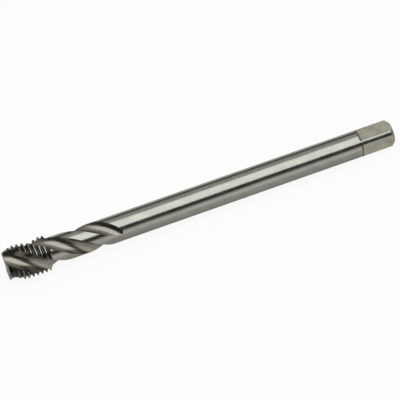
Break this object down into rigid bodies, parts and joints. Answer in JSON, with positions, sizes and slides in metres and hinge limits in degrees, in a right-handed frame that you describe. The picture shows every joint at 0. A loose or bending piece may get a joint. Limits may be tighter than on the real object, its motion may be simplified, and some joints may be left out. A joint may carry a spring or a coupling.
{
  "type": "thread tap",
  "caption": "Long-shank machine tap with a short threaded head, right-hand spiral flutes, a plain round shank and a square driving end.",
  "frame": {"origin": "centre of the end face of the driving square, on the axis of the tap", "axes": "X along the axis of the tap, from the cutting tip toward the driving square; the four flats of the square face +Y, -Y, +Z and -Z"},
  "size_m": [0.09, 0.008, 0.008],
  "materials": {
    "tool_steel": "bright ground high-speed steel, uncoated"
  },
  "bodies": {
    "root": {"tap": "tool_steel"}
  },
  "joints": []
}
